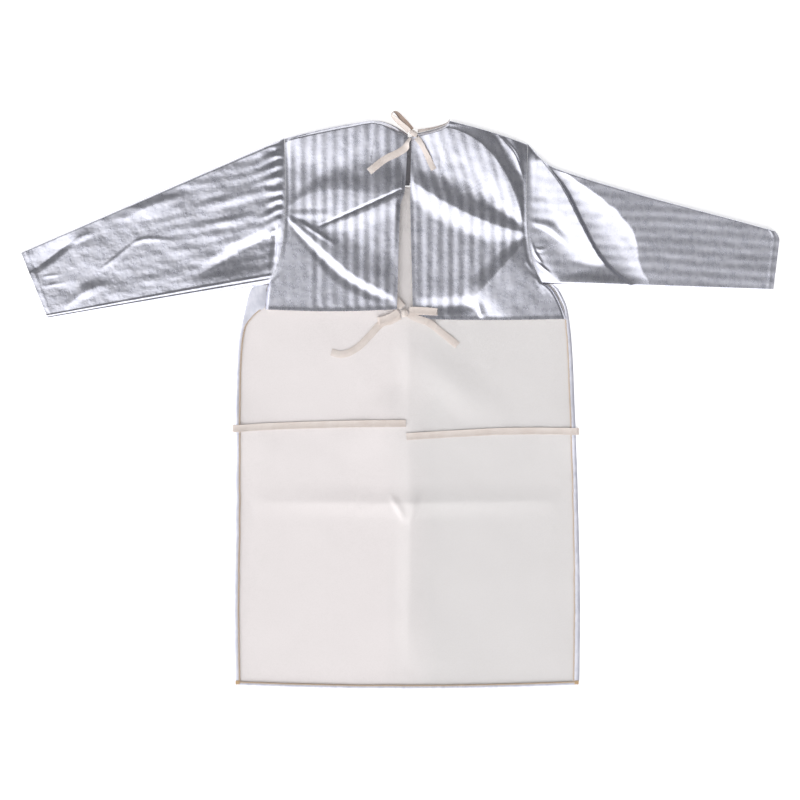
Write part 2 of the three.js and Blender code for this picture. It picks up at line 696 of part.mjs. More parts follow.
// The bow at the neck, and the tape along the right neck edge
const neck_bow = { x: 16, y: top - 28, z: 16.9, width: 17, depth: 12, height: 9 };
const neck_routes = {
  tail_left: [[9, -38], [3, -47], [0, -57], [-13, -67], [-43, -82], [-78, -109]],
  tail_right: [[22, -37], [30, -47], [39, -64], [46, -78], [53, -93], [59, -105]],
  loop: [
    [13, -20.5, 18.5, 50],
    [4, -8, 20, 55],
    [-8, 8, 20, 60],
    [-18, 17, 19, 60],
    [-28, 17, 18, 60],
    [-32, 9, 18, 60],
    [-25, -2, 19, 60],
    [-10, -12, 20, 55],
    [5.5, -24.5, 18.5, 50],
  ],
};
const atNeck = (key) => fromHeight(top, neck_routes[key]);
add("neck_tape", neckTape("right"), cream_tape);
add("neck_tail_left", ribbon(laidOn(atNeck("tail_left"))), cream_tape);
add("neck_tail_right", ribbon(laidOn(atNeck("tail_right"))), cream_tape);
add("neck_loop", ribbon(stationsOf(atNeck("loop"), 6), 0.8 * tape_width), cream_tape);
add("neck_knot", knot(neck_bow), cream_tape);

// The waist ties, from the turn past the edge to the bare end near the centre line
const tie_routes = {
  left: { turn: 0, laid: [[-223, 7], [0, 11]] },
  right: { turn: -6, laid: [[200, -6], [1, -17]] },
};
for (const name of ["left", "right"]) {
  const { turn, laid } = tie_routes[name];
  const tip = sides[name].sign * (halfWidth(name, tie_height) + turn_reach);
  const route = fromHeight(tie_height, [[tip, turn], ...laid]);
  add(`waist_tie_${name}`, waistTie(name, route), cream_tape);
}

export default coat;
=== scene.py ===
import math

import bmesh
import bpy
import numpy as np
from mathutils import Matrix, Vector
from mathutils.bvhtree import BVHTree


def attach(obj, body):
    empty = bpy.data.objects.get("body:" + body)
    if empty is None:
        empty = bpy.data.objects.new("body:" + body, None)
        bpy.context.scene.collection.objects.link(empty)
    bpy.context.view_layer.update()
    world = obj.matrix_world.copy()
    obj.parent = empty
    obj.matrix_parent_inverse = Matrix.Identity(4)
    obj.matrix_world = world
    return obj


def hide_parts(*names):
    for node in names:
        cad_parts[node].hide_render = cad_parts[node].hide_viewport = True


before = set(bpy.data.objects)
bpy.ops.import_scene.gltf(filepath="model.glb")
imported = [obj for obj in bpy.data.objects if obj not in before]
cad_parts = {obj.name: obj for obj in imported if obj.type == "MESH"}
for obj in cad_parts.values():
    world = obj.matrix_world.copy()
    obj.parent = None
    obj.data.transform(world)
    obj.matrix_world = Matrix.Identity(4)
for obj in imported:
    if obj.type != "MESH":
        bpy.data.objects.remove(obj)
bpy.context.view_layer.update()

MM = 0.001

# The camera looks straight down from high above
camera_height = 12.0
pixel = 2.116 * MM
picture_width = 800
sensor_width = 36
camera_offset = (-6 * pixel, 4 * pixel)
camera = bpy.data.cameras.new("camera")
camera.sensor_width = sensor_width
camera.lens = sensor_width * camera_height / (picture_width * pixel)
camera.clip_end = 60
camera_object = bpy.data.objects.new("camera", camera)
camera_object.location = (*camera_offset, camera_height)
bpy.context.collection.objects.link(camera_object)
bpy.context.scene.camera = camera_object
bpy.context.scene.view_settings.view_transform = "Standard"

# Named sizes of the coat
cloth = 1.2
seam_gap = 0.3
seam_seat = 2 * cloth + 2 * seam_gap
garment_length = 1200
shoulder_width = 514
shoulder_bow = 3
neck_width = 165
neck_shift = 9
front_neck_drop = 141
back_neck_drop = 30
armhole_drop = 346
armhole_hollow = 3
underarm_flare = 33
hem_width = 728
hem_sag = 8
back_length = 420
slit_width = 34
hem_turn = 10
thin_cloth = 0.8
fold_height = 6
arm_loft = 17
cuff_loft_limit = 19
collar_height = 12
sleeve_length = 606
tape_width = 15
binding_width = 7
tape_thickness = 1.4
turned_tape = 12  # the width of a tape that is seen turned
tie_height = -52
tie_sewn = 22
turn_reach = 8
loop_turn = 2.4

top = garment_length / 2
bottom = -garment_length / 2
underarm = top - armhole_drop
back_hem = top - back_length

sides = {
    "left": dict(sign=-1, shoulder_fall=38, sleeve_angle=23.5, take_up=0, cap_drop=0, cuff_width=153,
                 cuff_slant=22, cuff_corner=0, cuff_loft=17, tuck=20, side_out=8, neck_curve=2),
    "right": dict(sign=1, shoulder_fall=50, sleeve_angle=19.3, take_up=41, cap_drop=30, cuff_width=124,
                  cuff_slant=7, cuff_corner=14, cuff_loft=32, tuck=0, side_out=49, neck_curve=0.5),
}

side_rows = [
    dict(down=0.0, left=0.43, right=0.425),
    dict(down=0.015, left=0.45, right=0.443),
    dict(down=0.07, left=0.467, right=0.469),
    dict(down=0.16, left=0.487, right=0.481),
    dict(down=0.27, left=0.493, right=0.487),
    dict(down=0.6, left=0.495, right=0.5),
    dict(down=0.8, left=0.499, right=0.504),
    dict(down=1.0, left=0.496, right=0.502),
]
turn_rows = [
    dict(down=0.003, left=2.6, right=0.7),
    dict(down=0.035, left=3.9, right=0.6),
    dict(down=0.055, left=3.9, right=0.5),
    dict(down=0.075, left=2.3, right=0.6),
    dict(down=0.11, left=0.7, right=0.8),
    dict(down=0.3, left=0.8, right=0.9),
    dict(down=1.0, left=1.0, right=1.2),
]
slit_rows = [
    dict(down=0.0, left=-0.12, right=0.35),
    dict(down=0.33, left=0.08, right=0.26),
    dict(down=0.43, left=0.35, right=0.28),
    dict(down=1.0, left=0.56, right=0.44),
]
cap_rows = [
    dict(along=0.0, fall=0.0),
    dict(along=0.07, fall=0.82),
    dict(along=0.11, fall=1.0),
    dict(along=1.0, fall=0.0),
]


# Shape helpers
def mix(a, b, t):
    return a + (b - a) * t


def ease(t):
    t = np.clip(t, 0, 1)
    return t * t * (3 - 2 * t)


def bell(t):
    return 0.5 + 0.5 * np.cos(np.pi * np.clip(np.abs(t), 0, 1))


def smooth_line(xs, ys, at):
    """A smooth line through points that never swings past them."""
    xs, ys = np.asarray(xs, float), np.asarray(ys, float)
    rise = np.diff(ys) / np.diff(xs)
    slopes = np.empty(len(xs))
    slopes[0], slopes[-1] = rise[0], rise[-1]
    same = rise[:-1] * rise[1:] > 0
    total = np.where(same, rise[:-1] + rise[1:], 1)
    slopes[1:-1] = np.where(same, 2 * rise[:-1] * rise[1:] / total, 0)
    at = np.clip(np.asarray(at, float), xs[0], xs[-1])
    i = np.clip(np.searchsorted(xs, at, side="right") - 1, 0, len(xs) - 2)
    step = xs[i + 1] - xs[i]
    t = (at - xs[i]) / step
    return ((1 + 2 * t) * (1 - t) ** 2 * ys[i] + t * (1 - t) ** 2 * step * slopes[i]
            + t * t * (3 - 2 * t) * ys[i + 1] + t * t * (t - 1) * step * slopes[i + 1])


def from_rows(rows, key, at, column):
    return smooth_line([row[key] for row in rows], [row[column] for row in rows], at)


def smooth_route(points, count):
    """Stations at even steps on a smooth curve through chosen points, with any further columns."""
    points = np.asarray(points, float)
    chord = np.concatenate([[0], np.cumsum(np.linalg.norm(np.diff(points[:, :3], axis=0), axis=1))])
    tangents = np.gradient(points, chord, axis=0)
    at = np.linspace(0, chord[-1], 12 * len(points))
    i = np.clip(np.searchsorted(chord, at, side="right") - 1, 0, len(points) - 2)
    step = (chord[i + 1] - chord[i])[:, None]
    t = (at - chord[i])[:, None] / step
    curve = ((1 + 2 * t) * (1 - t) ** 2 * points[i] + t * (1 - t) ** 2 * step * tangents[i]
             + t * t * (3 - 2 * t) * points[i + 1] + t * t * (t - 1) * step * tangents[i + 1])
    length = np.concatenate([[0], np.cumsum(np.linalg.norm(np.diff(curve[:, :3], axis=0), axis=1))])
    even = np.linspace(0, length[-1], count)
    return np.stack([np.interp(even, length, column) for column in curve.T], axis=1)


def fold(x, y, stations, sharp=0.3):
    """How high a fold lifts (x, y). A station is x, y, height and the reach on its left and on its right.

    A fold below 0 in sharpness is steepest at its outer limit."""
    line = smooth_route([(a, b, 0, *rest) for a, b, *rest in stations], 5 * len(stations))
    nearest = np.full(np.shape(x), 1e9)
    height = np.zeros(np.shape(x))
    reach = np.ones(np.shape(x))
    for a, b in zip(line, line[1:]):
        dx, dy = b[0] - a[0], b[1] - a[1]
        t = np.clip(((x - a[0]) * dx + (y - a[1]) * dy) / (dx * dx + dy * dy), 0, 1)
        away = np.hypot(x - a[0] - t * dx, y - a[1] - t * dy)
        left = dx * (y - a[1]) - dy * (x - a[0]) > 0
        closer = away < nearest
        nearest = np.where(closer, away, nearest)
        height = np.where(closer, mix(a[3], b[3], t), height)
        reach = np.where(closer, np.where(left, mix(a[4], b[4], t), mix(a[5], b[5], t)), reach)
    reach = np.maximum(reach, 1.5) * (1 + 0.05 * lattice(x, y, 17, 3))
    share = np.clip(nearest / reach, 0, 1)
    if sharp < 0:
        return height * (1 - share ** 2)
    return height * mix(bell(share), (1 - share) ** 2, sharp)


def lattice(x, y, scale, seed):
    """Smooth noise between -1 and 1 with lumps of about the given size."""
    gx, gy = x / scale, y / scale
    ix, iy = np.floor(gx), np.floor(gy)
    fx, fy = gx - ix, gy - iy
    fx, fy = fx * fx * (3 - 2 * fx), fy * fy * (3 - 2 * fy)

    def corner(a, b):
        value = np.sin(a * 127.1 + b * 311.7 + seed * 74.7) * 43758.5453
        return 2 * (value - np.floor(value)) - 1

    low = mix(corner(ix, iy), corner(ix + 1, iy), fx)
    high = mix(corner(ix, iy + 1), corner(ix + 1, iy + 1), fx)
    return mix(low, high, fy)


def crumple(x, y, scale, seed):
    """Foil crumple: flat facets between small sharp ridges."""
    bend_x = x + 0.35 * scale * lattice(x, y, scale, seed + 5)
    bend_y = y + 0.35 * scale * lattice(x, y, scale, seed + 9)
    return sum(
        (0.5 - np.abs(lattice(bend_x, bend_y, scale * size, seed + k))) * size
        for k, size in enumerate((1.0, 0.5, 0.27))
    )


# Outlines of the coat
def armhole_out(share):
    return shoulder_width / 2 - armhole_hollow * np.sin(np.pi * share) + underarm_flare * share ** 6


def neck_out(side):
    return neck_width / 2 + side["sign"] * neck_shift


def neck_line(side, out):
    slit_out = slit_width * slit_rows[0]["right" if side["sign"] > 0 else "left"]
    share = np.clip((neck_out(side) - out) / (neck_out(side) - slit_out), 0, 1)
    return top - back_neck_drop * share ** side["neck_curve"]


def collar_z(side, out):
    return mix(seam_seat, collar_height, ease(1.6 * (neck_out(side) - out) / neck_out(side)))


def half_width(name, y):
    return hem_width * from_rows(side_rows, "down", (underarm - y) / (underarm - bottom), name)


def hem_line(x):
    return bottom + hem_sag * np.minimum(1, np.abs(2 * x) / hem_width) ** 2 - hem_sag / 2


def arch(share, power=0.4):
    return np.maximum(0, 1 - (2 * share - 1) ** 2) ** power


# Making cloth
def cloth_lengths(shape):
    """The lengths of a piece along its two shares, through its middle."""
    t = np.linspace(0, 1, 60)
    half = np.full(60, 0.5)
    return [
        float(np.sum(np.linalg.norm(np.diff(np.stack(shape(*pair), axis=1), axis=0), axis=1)))
        for pair in ((t, half), (half, t))
    ]


def new_piece(name, bm, materials):
    for face in bm.faces:
        face.smooth = True
    mesh = bpy.data.meshes.new(name)
    bm.to_mesh(mesh)
    bm.free()
    piece = bpy.data.objects.new(name, mesh)
    bpy.context.collection.objects.link(piece)
    for material in materials:
        mesh.materials.append(material)
    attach(piece, "root")
    return piece


def cloth_piece(name, columns, rows, shape, materials, around=False, thickness=cloth, offset=-1.0, up=True):
    """A grid of cloth shaped by a function of its two shares, given its thickness by a wall."""
    bm = bmesh.new()
    bmesh.ops.create_grid(bm, x_segments=columns, y_segments=rows, size=0.5)
    bm.verts.index_update()
    shares = np.array([v.co for v in bm.verts])[:, :2] + 0.5
    points = np.stack(shape(shares[:, 0], shares[:, 1]), axis=1) * MM
    uv = bm.loops.layers.uv.new("cloth")
    size = cloth_lengths(shape)
    for face in bm.faces:
        for loop in face.loops:
            u, v = shares[loop.vert.index]
            loop[uv].uv = (u * size[0] * MM, v * size[1] * MM)
    for vert, point in zip(bm.verts, points):
        vert.co = point
    if around:
        bmesh.ops.remove_doubles(bm, verts=bm.verts, dist=1e-6)
    for edge in bm.edges:
        edge.smooth = not edge.is_boundary
    bm.normal_update()
    centre = Vector(np.mean([v.co for v in bm.verts], axis=0))
    if around:
        outward = sum(f.normal.dot(f.calc_center_median() - centre) * f.calc_area() for f in bm.faces)
    else:
        outward = sum(f.normal.z * f.calc_area() for f in bm.faces)
    if outward < 0 and (around or up):
        bmesh.ops.reverse_faces(bm, faces=bm.faces)
    piece = new_piece(name, bm, materials)
    if thickness:
        wall = piece.modifiers.new("wall", "SOLIDIFY")
        wall.thickness = thickness * MM
        wall.offset = offset
        wall.material_offset = len(materials) - 1
        wall.material_offset_rim = 0
    return piece


# Shader maths
class Value:
    """A socket that can be added, multiplied and so on."""

    def __init__(self, owner, socket):
        self.owner, self.socket = owner, socket

    def maths(self, kind, *others):
        node = self.owner.tree.nodes.new("ShaderNodeMath")
        node.operation = kind
        for place, other in enumerate((self, *others)):
            self.owner.fill(node.inputs[place], other)
        return Value(self.owner, node.outputs[0])

    def __add__(self, other):
        return self.maths("ADD", other)

    __radd__ = __add__

    def __mul__(self, other):
        return self.maths("MULTIPLY", other)

    __rmul__ = __mul__

    def __sub__(self, other):
        return self.maths("SUBTRACT", other)

    def sine(self):
        return self.maths("SINE")

    def size(self):
        return self.maths("ABSOLUTE")

    def part(self):
        return self.maths("FRACT")

    def clamped(self):
        return self.maths("MAXIMUM", 0.0).maths("MINIMUM", 1.0)


class Nodes:
    """The nodes of a material or of the world."""

    def __init__(self, tree):
        self.tree = tree

    def fill(self, socket, value):
        if isinstance(value, Value):
            self.tree.links.new(value.socket, socket)
        elif isinstance(value, (tuple, list)) and len(value) == 3 and len(socket.default_value) == 4:
            socket.default_value = (*value, 1)
        else:
            socket.default_value = value

    def node(self, kind, settings=None, output=0, **sockets):
        made = self.tree.nodes.new("ShaderNode" + kind)
        for key, value in (settings or {}).items():
            setattr(made, key, value)
        for key, value in sockets.items():
            place = int(key[2:]) if key.startswith("at") else key.replace("_", " ")
            self.fill(made.inputs[place], value)
        return Value(self, made.outputs[output])

    def place(self):
        return self.node("TexCoord", output="Object")

    def spread(self, vector, scale, turn=0.0):
        """A vector stretched and turned about Z."""
        return self.node("Mapping", Vector=vector, Scale=scale, Rotation=(0, 0, math.radians(turn)))

    def noise(self, vector, scale, detail=3.0, rough=0.5):
        return self.node("TexNoise", output="Fac", Vector=vector, Scale=scale, Detail=detail, Roughness=rough)

    def ramp(self, value, *stops):
        made = self.tree.nodes.new("ShaderNodeValToRGB")
        first, last = made.color_ramp.elements
        first.position, first.color = stops[0][0], (*stops[0][1], 1)
        last.position, last.color = stops[-1][0], (*stops[-1][1], 1)
        for at, colour in stops[1:-1]:
            made.color_ramp.elements.new(at).color = (*colour, 1)
        self.fill(made.inputs[0], value)
        return Value(self, made.outputs[0])

    def tint(self, share, a, b):
        return self.node("Mix", {"data_type": "RGBA"}, 2, at0=share, at6=a, at7=b)

    def split(self, vector):
        made = self.tree.nodes.new("ShaderNodeSeparateXYZ")
        self.fill(made.inputs[0], vector)
        return [Value(self, made.outputs[k]) for k in range(3)]

    def bump(self, height, distance, below=None):
        sockets = dict(Height=height, Distance=distance, Strength=1.0)
        if below:
            sockets["Normal"] = below
        return self.node("Bump", **sockets)


class Finish(Nodes):
    """A material on the Principled shader."""

    def __init__(self, name, **sockets):
        self.material = bpy.data.materials.new(name)
        self.material.use_nodes = True
        super().__init__(self.material.node_tree)
        self.tree.nodes.clear()
        self.shader = self.tree.nodes.new("ShaderNodeBsdfPrincipled")
        output = self.tree.nodes.new("ShaderNodeOutputMaterial")
        self.tree.links.new(self.shader.outputs[0], output.inputs[0])
        self.set(**sockets)

    def set(self, **sockets):
        for key, value in sockets.items():
            self.fill(self.shader.inputs[key.replace("_", " ")], value)


# The metal film: bright, lightly crinkled, with the grain of the canvas showing through
# painted_brightness scales the film's colour: below 1 it is painted shade, above 1 painted light
def silver_film(name, crinkle, rough, turn=0.0, metal=1.0, painted_brightness=1.0):
    film = Finish(name, Metallic=metal)
    place = film.place()
    mottle = film.noise(place, 70, 4, 0.6)
    streak = film.noise(film.spread(place, (1, 0.3, 1), turn), 150, 3, 0.6)
    film.set(Base_Color=film.ramp(mottle * 0.6 + streak * 0.4,
                                  (0.32, tuple(c * painted_brightness for c in (0.55, 0.56, 0.63))),
                                  (0.68, tuple(c * painted_brightness for c in (0.70, 0.70, 0.755)))))
    film.set(Roughness=rough - 0.08 + 0.10 * mottle + 0.08 * streak)
    weave = film.node("TexWave", {"wave_type": "BANDS", "bands_direction": "DIAGONAL"}, output="Fac",
                      Vector=place, Scale=260.0, Distortion=1.5, Detail=2.0)
    grain = film.bump(weave, 0.00002)
    drawn = film.spread(place, (1, 0.45, 1), turn)
    small = film.bump(film.noise(drawn, 300, 2, 0.5), 0.0001 * crinkle, below=grain)
    film.set(Normal=film.bump(film.noise(place, 75, 2, 0.5), 0.0005 * crinkle, below=small))
    return film.material


weave_pitch = 1.3


def canvas_cloth():
    canvas = Finish("canvas_inside", Sheen_Weight=0.15, Sheen_Roughness=0.5, Specular_IOR_Level=0.2)
    place = canvas.place()
    blotch = canvas.noise(place, 5, 5, 0.6)
    swell = canvas.noise(place, 7, 1, 0.4)
    fleck = canvas.noise(place, 420, 2, 0.5)
    x, y, _ = canvas.split(place)
    # Painted shade: right of the middle the canvas is painted darker than on the left, in place of the
    # shading from light falling from the left; the blotch noise blurs the boundary
    side = ((x - 0.005) * 9 + 0.5 + (blotch - 0.5) * 0.8).clamped()
    painted_side_shade = canvas.tint(side, (0.865, 0.815, 0.80), (0.775, 0.75, 0.735))
    canvas.set(Base_Color=canvas.tint((fleck - 0.45).clamped() * 0.6, painted_side_shade, (0.70, 0.665, 0.63)))
    canvas.set(Roughness=0.88 + 0.08 * fleck)
    radians_per_metre = 6283.0 / weave_pitch
    warp = (x * radians_per_metre).sine()
    weft = (y * radians_per_metre).sine()
    weave = canvas.bump(warp * weft * (0.6 + fleck), 0.00012)
    canvas.set(Normal=canvas.bump(swell, 0.003, below=weave))
    return canvas.material


def tape_cotton(name, dark, light):
    tape = Finish(name, Sheen_Weight=0.2, Sheen_Roughness=0.5, Specular_IOR_Level=0.2)
    lie = tape.node("UVMap", {"uv_map": "cloth"})
    along, across, _ = tape.split(lie)
    fleck = tape.noise(lie, 700, 3, 0.6)
    soil = tape.noise(tape.place(), 30, 3, 0.6)
    herring = ((along * 900 + ((across * 260).part() - 0.5).size() * 6) * 6.2832).sine()
    tape.set(Base_Color=tape.ramp(soil * 0.7 + fleck * 0.3,
                                  (0.3, dark), (0.65, light)))
    tape.set(Roughness=0.85 + 0.05 * soil, Normal=tape.bump(herring * 0.5 + fleck, 0.00012))
    return tape.material


def sewing_thread(name, dark, light):
    thread = Finish(name, Sheen_Weight=0.3, Sheen_Roughness=0.4, Specular_IOR_Level=0.3)
    ply = thread.noise(thread.place(), 1500, 2, 0.5)
    thread.set(Base_Color=thread.ramp(ply, (0.35, dark), (0.65, light)))
    thread.set(Roughness=0.6 + 0.2 * ply, Normal=thread.bump(ply, 0.0001))
    return thread.material


silver_back = silver_film("silver_film_back", 0.6, 0.27, 0)
silver_left = silver_film("silver_film_left_sleeve", 1.5, 0.28, 75)
silver_right = silver_film("silver_film_right_sleeve", 0.35, 0.27, 105)
# The facing's film is painted at 0.42 of the silver's brightness: painted shade for the shaded slit gap
silver_facing_painted_shade = silver_film("silver_film_facing_painted_shade", 0.6, 0.4, 0, painted_brightness=0.42)
# The hem film's colour is painted 1.22 times the silver's: painted light for the bright reflections on the
# hem strips
silver_hem_painted_light = silver_film("silver_film_hem_painted_light", 0.6, 0.35, 0, metal=0.7, painted_brightness=1.22)
canvas_inside = canvas_cloth()
tape_cloth = tape_cotton("tape_cotton", (0.68, 0.59, 0.535), (0.77, 0.70, 0.65))
# A dark brown copy of the tape cotton: painted shade for the shaded inner face of the neck loop
tape_shade = tape_cotton("tape_cotton_painted_shade", (0.20, 0.145, 0.115), (0.34, 0.26, 0.215))
tan_thread = sewing_thread("tan_overlock_thread", (0.46, 0.31, 0.17), (0.74, 0.55, 0.35))
grey_thread = sewing_thread("grey_seam_thread", (0.42, 0.42, 0.44), (0.66, 0.66, 0.68))

# The front panel, with its folds all raised by one factor
crease_lift = 1.6
panel_folds = [
    ([(6, 190, 0, 70, 40), (6, 90, 2.4, 70, 36), (5, -30, 0.8, 60, 30)], 0.7),
    ([(6, -80, 0.8, 60, 30), (8, -250, 3.0, 70, 36), (6, -430, 2.8, 70, 36), (4, -575, 0, 60, 30)], 0.7),
    ([(-340, -206, 0.6, 40, 40), (-180, -208, 1.8, 46, 40), (0, -210, 2.2, 40, 40), (180, -207, 1.8, 46, 40),
      (345, -205, 0.6, 40, 40)], 0.7),
    ([(4, 30, 0, 50, 50), (-40, -20, 2.6, 60, 60), (-100, -80, 1.5, 60, 50), (-130, -120, 0, 40, 40)], 0.1),
    ([(20, 140, 0, 60, 60), (90, 50, 2.6, 70, 60), (200, -30, 0, 60, 50)], 0.1),
    ([(-34, -190, 0, 12, 12), (-16, -220, 2.4, 14, 12), (-2, -252, 0, 12, 12)], 0.6),
    ([(26, -190, 0, 12, 12), (16, -222, 2.0, 12, 14), (4, -262, 0, 12, 12)], 0.6),
]


def panel_z(x, y):
    reach = 96.0
    over_tie = bell((np.abs(x) - hem_width / 2) / reach) * bell((y - tie_height) / reach)
    inside = np.minimum(hem_width / 2 - np.abs(x), y - bottom)
    flat = ease(np.clip(inside / (4 * hem_turn) - 0.6, 0, 1))
    sag = 0.5 * lattice(x, y, 90, 3) + 0.25 * lattice(x, y, 38, 8)
    lift = crease_lift * sum(fold(x, y, stations, sharp) for stations, sharp in panel_folds)
    return cloth + 2.4 * tape_thickness * over_tie + (lift + sag + 0.7) * flat


def front_panel_shape(u, v):
    def edge_out(side, name, y):
        shoulder = top - side["shoulder_fall"]
        up = armhole_out(np.clip((shoulder - y) / (shoulder - underarm), 0, 1))
        return np.where(y > underarm, up, half_width(name, np.minimum(y, underarm)))

    side_share = 2 * u - 1
    crown = np.where(side_share > 0, neck_out(sides["right"]), neck_out(sides["left"]))
    x_guess = side_share * shoulder_width / 2
    from_neck = np.abs(x_guess - neck_shift) / (neck_width / 2)
    bowl = top - front_neck_drop * np.sqrt(np.clip(1 - from_neck ** 2.4, 0, 1))
    fall = np.where(side_share > 0, sides["right"]["shoulder_fall"], sides["left"]["shoulder_fall"])
    seam = top - fall * np.clip((np.abs(x_guess) - crown) / (shoulder_width / 2 - crown), 0, 1)
    y_top = np.where(from_neck < 1, bowl, seam)
    y = mix(y_top, hem_line(side_share * hem_width / 2), v)
    width = np.where(side_share > 0, edge_out(sides["right"], "right", y), edge_out(sides["left"], "left", y))
    x = side_share * width
    return x, y, panel_z(x, y)


# The back panels, each with its own folds. Left and right of a fold are as seen along it.
stripe = 22.2
rib_height = 0.36
seam_height = 0.7
seam_reach = 9
back_folds = {
    "left": [
        ([(-246, 557, 3.0, 8, 70), (-190, 570, 6.0, 8, 100), (-120, 584, 7.0, 8, 105), (-60, 592, 6.0, 8, 95),
          (-20, 574, 3.0, 8, 80)], 0.3),
        ([(-256, 412, 0.8, 6, 20), (-205, 443, 3.0, 24, 70), (-142, 453, 4.6, 54, 110),
          (-80, 446, 5.6, 78, 130), (-8, 440, 6.0, 84, 130)], 0.2),
        ([(-184, 376, -0.5, 4, 4), (-150, 391, -1.8, 4.5, 4.5), (-60, 431, -2.2, 4.5, 4.5),
          (-11, 453, -2.0, 4.5, 4.5)], 0.3),
        ([(-184, 368, 0.3, 8, 10), (-100, 400, 2.0, 13, 34), (-11, 440, 2.2, 14, 40)], 0.3),
        ([(-258, 402, 1.0, 6, 7), (-222, 370, 2.2, 22, 12), (-167, 321, 2.6, 56, 13),
          (-112, 275, 2.4, 70, 14), (-48, 240, 2.2, 70, 15), (-15, 222, 0.8, 40, 12)], 0.2),
        ([(-234, 366, -0.3, 8, 8), (-202, 331, -1.0, 12, 12), (-180, 309, -1.5, 13, 15),
          (-136, 269, -1.8, 14, 20), (-91, 241, -1.5, 14, 18), (-50, 221, -0.4, 10, 12)], 0.3),
        ([(-226, 388, 0.3, 6, 8), (-200, 370, 1.4, 8, 8), (-150, 336, 0.3, 8, 8)], 0.3),
        ([(-256, 402, 0.8, 12, 12), (-200, 400, 1.0, 14, 14), (-140, 404, 0, 12, 12)], 0.1),
    ],
    "right": [
        ([(34, 586, 4.0, 8, 80), (100, 582, 9.5, 14, 125), (152, 556, 10.5, 30, 125),
          (200, 504, 10.0, 34, 110), (232, 438, 7.0, 22, 62), (247, 385, 1.2, 8, 15)], 0.3),
        ([(11, 472, 3.4, 34, 30), (74, 432, 5.8, 58, 44), (146, 396, 6.0, 54, 46), (194, 377, 4.6, 40, 40),
          (247, 363, 1.4, 16, 18)], 0.4),
        ([(254, 347, 2.0, 20, 12), (224, 313, 7.0, 80, 24), (182, 267, 8.5, 95, 32), (150, 232, 7.0, 95, 34),
          (130, 208, 1.0, 40, 20)], 0.5),
        ([(258, 336, 1.0, 8, 10), (276, 290, 3.0, 12, 14), (294, 241, 0.6, 12, 12)], 0.3),
        ([(256, 300, 0.6, 8, 8), (290, 262, 2.2, 12, 10), (322, 222, 0.4, 10, 10)], 0.3),
        ([(204, 560, 1.0, 6, 14), (228, 532, 5.6, 6, 26), (247, 484, 1.2, 5, 14)], 0.4),
        ([(16, 207, -1.6, 22, 20), (80, 206, -2.2, 22, 22), (138, 208, -2.0, 20, 20),
          (152, 206, 0, 10, 10)], 0.3),
        ([(150, 216, 0.6, 12, 4), (155, 200, 3.0, 16, 5), (158, 186, 3.0, 16, 5)], 0.4),
    ],
}


def smooth_zone(name, x, y):
    """Where the cloth is pulled smooth, so that its ribs hardly show."""
    if name == "left":
        return 0.85 * ease((-188 - x) / 26) * ease((372 - y) / 26)
    beyond = (x - 150) * 0.7 - (y - 235) * 0.7
    return 0.85 * ease(beyond / 26 + 0.6) * ease((352 - y) / 30)


def rib_slant(name, y):
    """The ribs of the right panel lean outwards near the shoulder."""
    return 0.3 * np.maximum(y - 430, 0) if name == "right" else 0 * y


# How far in from each edge of a back panel its folds come up
rim = dict(top=7, hem=10, arm=12, slit=10)

plateau_rows = [
    dict(down=0.0, height=18),
    dict(down=0.1, height=18),
    dict(down=0.5, height=15.6),
    dict(down=1.0, height=13.4),
]


def back_panel_shape(name):
    side = sides[name]
    shoulder = top - side["shoulder_fall"]
    hem = back_hem + side["tuck"]
    split = (shoulder - underarm) / (shoulder - hem)
    crown = neck_out(side)

    def side_out(v):
        below = np.clip((v - split) / (1 - split), 0, 1)
        lower = armhole_out(1) + side["side_out"] * np.sqrt(below) - (0 if name == "right" else seam_gap)
        return np.where(v <= split, armhole_out(np.clip(v / split, 0, 1)), lower)

    def line_top(out):
        share = np.clip((out - crown) / (shoulder_width / 2 - crown), 0, 1)
        over = mix(top, shoulder, share) + shoulder_bow * np.sin(np.pi * share)
        return np.where(out > crown, over, neck_line(side, out))

    def arm_z(v):
        upper = mix(fold_height, arm_loft, arch(np.clip(v / split, 0, 1)))
        lower = mix(fold_height, seam_seat, np.sqrt(np.clip((v - split) / (1 - split), 0, 1)))
        return np.where(v <= split, upper, lower)

    def shape(u, t):
        v = mix(t, t ** 1.6, 0.6)
        edge, slit = side_out(v), slit_width * from_rows(slit_rows, "down", v, name)
        out = mix(edge, slit, u)
        x = side["sign"] * out
        y_top = line_top(np.minimum(out, shoulder_width / 2))
        sag = (0.3 if name == "right" else 0.5) * hem_sag
        y = mix(y_top, hem - sag * np.sin(np.pi * u), v)
        plateau = from_rows(plateau_rows, "down", v, "height")
        plateau = plateau - 4 * (1 - ease((out - slit) / 60)) * (1 - v)
        from_arm = 1 - (1 - np.clip((edge - out) / mix(36, 7, ease((v - split) / 0.14 + 1)), 0, 1)) ** 2
        z = mix(arm_z(v), mix(fold_height, plateau, ease((y_top - y) / 1.6 + 0.2)), from_arm)
        from_ends = np.minimum((y_top - y) / rim["top"], (y - hem) / rim["hem"])
        from_sides = np.minimum((edge - out) / rim["arm"], (out - slit) / rim["slit"])
        inside = ease(np.minimum(from_ends, from_sides))
        lift = sum(fold(x, y, stations, sharp) for stations, sharp in back_folds[name])
        ribs = rib_height * np.cos(2 * np.pi * (x + rib_slant(name, y)) / stripe)
        ribs = ribs * (1 - smooth_zone(name, x, y))
        uneven = 1 + 0.4 * lattice(x, 0.3 * y, 24, 7)
        ribs = ribs * uneven * (1 - 0.4 * (name == "right") * ease((y - 400) / 60))
        flutter = 0.3 * lattice(x, y, 30, 4) + 0.12 * lattice(x, 0.5 * y, 11, 2)
        seam = 0.9 * bell((edge - out) / 7)
        edge_seams = seam_height * bell((out - slit) / seam_reach)
        edge_seams = edge_seams + seam_height * bell((1 - v) * back_length / seam_reach)
        z = z + (lift + flutter + ribs) * inside + seam + edge_seams
        return x, y, mix(collar_z(side, out), z, ease((y_top - y) / mix(7, 2, ease((out - crown) / 12 + 1))))

    return shape


